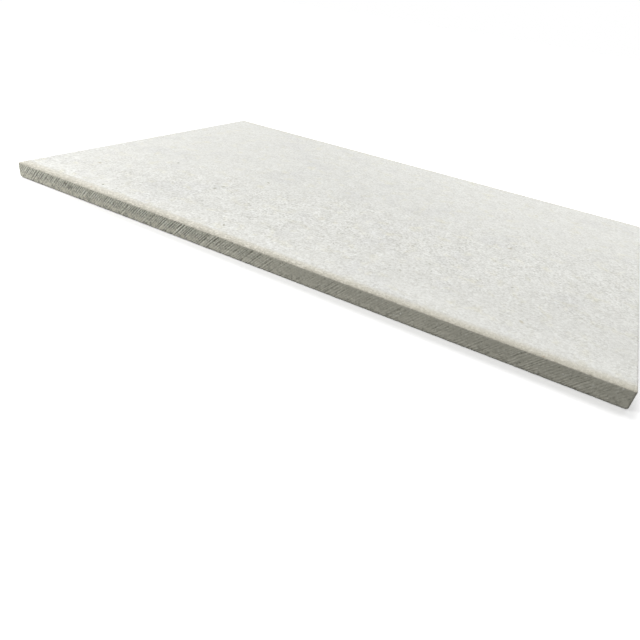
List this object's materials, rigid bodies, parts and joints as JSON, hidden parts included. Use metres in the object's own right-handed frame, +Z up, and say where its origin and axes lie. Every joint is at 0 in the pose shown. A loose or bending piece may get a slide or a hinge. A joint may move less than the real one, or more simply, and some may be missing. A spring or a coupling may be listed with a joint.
{
  "type": "calcium silicate board",
  "caption": "Flat rectangular calcium silicate board with a pale matt face, saw-marked edges and eased arrises.",
  "frame": {"origin": "centre of the underside", "axes": "+X along the length, +Y across the width, +Z up through the thickness, out of the face"},
  "size_m": [0.3, 0.2, 0.008],
  "materials": {
    "board_stock": "matte"
  },
  "bodies": {
    "root": {"board": "board_stock"}
  },
  "joints": []
}
